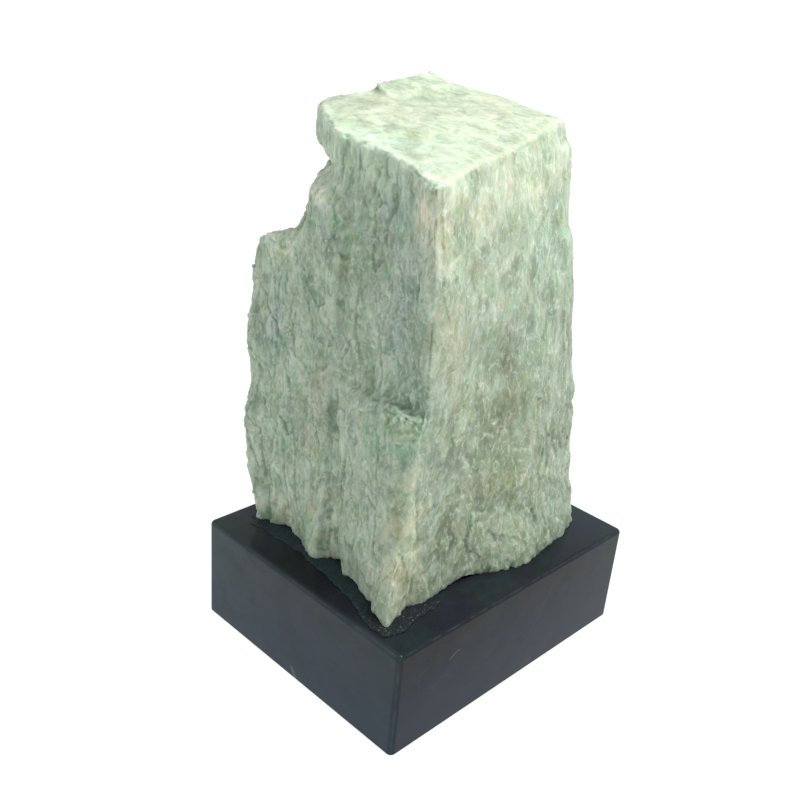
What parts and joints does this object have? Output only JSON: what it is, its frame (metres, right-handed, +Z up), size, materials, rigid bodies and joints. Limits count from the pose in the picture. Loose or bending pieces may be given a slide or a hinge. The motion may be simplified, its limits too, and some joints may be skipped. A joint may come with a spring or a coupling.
{
  "type": "amazonite crystal specimen on a polished stone base",
  "caption": "Stepped, cleaved block of pale green amazonite set upright in dark epoxy on a rectangular black marble base.",
  "frame": {"origin": "centre of the marble base's underside", "axes": "+Z up along the crystal; +X along the marble base's long side; the crystal's smooth cleaved face looks towards -Y and its stepped face towards -X"},
  "size_m": [0.0762, 0.0636, 0.1255],
  "materials": {
    "black_marble": "polished black marble with faint pale veins",
    "black_epoxy": "set black epoxy with a bumpy squeezed-out rim",
    "amazonite": "freshly cleaved, splintery, pale green with paler streaks"
  },
  "bodies": {
    "root": {"marble_base": "black_marble", "epoxy_bed": "black_epoxy", "amazonite_crystal": "amazonite"}
  },
  "joints": []
}
